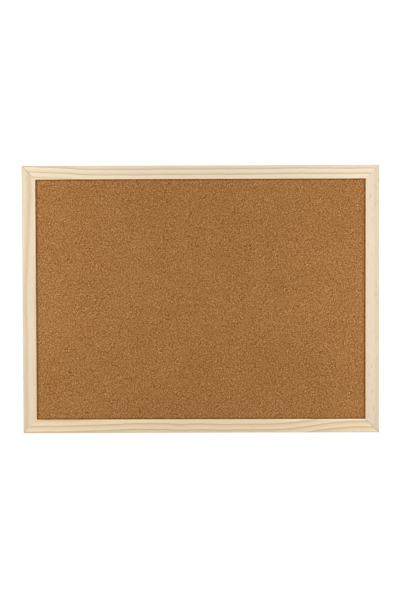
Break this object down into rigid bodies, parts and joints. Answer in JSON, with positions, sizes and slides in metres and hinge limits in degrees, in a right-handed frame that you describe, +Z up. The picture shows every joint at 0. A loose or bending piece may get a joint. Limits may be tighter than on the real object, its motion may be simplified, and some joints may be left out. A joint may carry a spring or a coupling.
{
  "type": "cork pin board",
  "caption": "Cork pin board: a laminated cork panel held in the rebate of a mitred pine frame by driven points, with swinging ring hangers on the back.",
  "frame": {"origin": "on the wall plane, in the middle of the bottom rail's back face", "axes": "+X to the viewer's right along the width, +Y out of the back towards the wall, +Z up; the cork faces -Y"},
  "size_m": [0.4, 0.0177, 0.3],
  "materials": {
    "pine": "pale softwood, planed and left bare",
    "cork": "fine-grained agglomerated cork, matt",
    "fibreboard": "soft fibreboard, matt",
    "kraft_card": "brown kraft card, matt",
    "nail_steel": "bright steel sheet, slightly dull",
    "zinc": "zinc-plated steel"
  },
  "bodies": {
    "board": {"top_rail": "pine", "bottom_rail": "pine", "left_stile": "pine", "right_stile": "pine", "cork_sheet": "cork", "core_board": "fibreboard", "backing_card": "kraft_card", "v_nail_bottom_left_outer": "nail_steel", "v_nail_bottom_left_inner": "nail_steel", "v_nail_bottom_right_outer": "nail_steel", "v_nail_bottom_right_inner": "nail_steel", "v_nail_top_left_outer": "nail_steel", "v_nail_top_left_inner": "nail_steel", "v_nail_top_right_outer": "nail_steel", "v_nail_top_right_inner": "nail_steel", "panel_point_top_1": "nail_steel", "panel_point_top_2": "nail_steel", "panel_point_top_3": "nail_steel", "panel_point_bottom_1": "nail_steel", "panel_point_bottom_2": "nail_steel", "panel_point_bottom_3": "nail_steel", "panel_point_left_1": "nail_steel", "panel_point_left_2": "nail_steel", "panel_point_right_1": "nail_steel", "panel_point_right_2": "nail_steel", "left_hanger_strap": "zinc", "left_hanger_screw": "zinc", "right_hanger_strap": "zinc", "right_hanger_screw": "zinc"},
    "left_ring": {"left_hanger_ring": "zinc"},
    "right_ring": {"right_hanger_ring": "zinc"}
  },
  "joints": [
    {"name": "left_ring_swing", "type": "hinge", "parent": "board", "child": "left_ring", "pos_m": [-0.19475, 0.0019, 0.24975], "axis": [1, 0, 0], "range_deg": [0, 180]},
    {"name": "right_ring_swing", "type": "hinge", "parent": "board", "child": "right_ring", "pos_m": [0.19475, 0.0019, 0.24975], "axis": [1, 0, 0], "range_deg": [0, 180]}
  ]
}
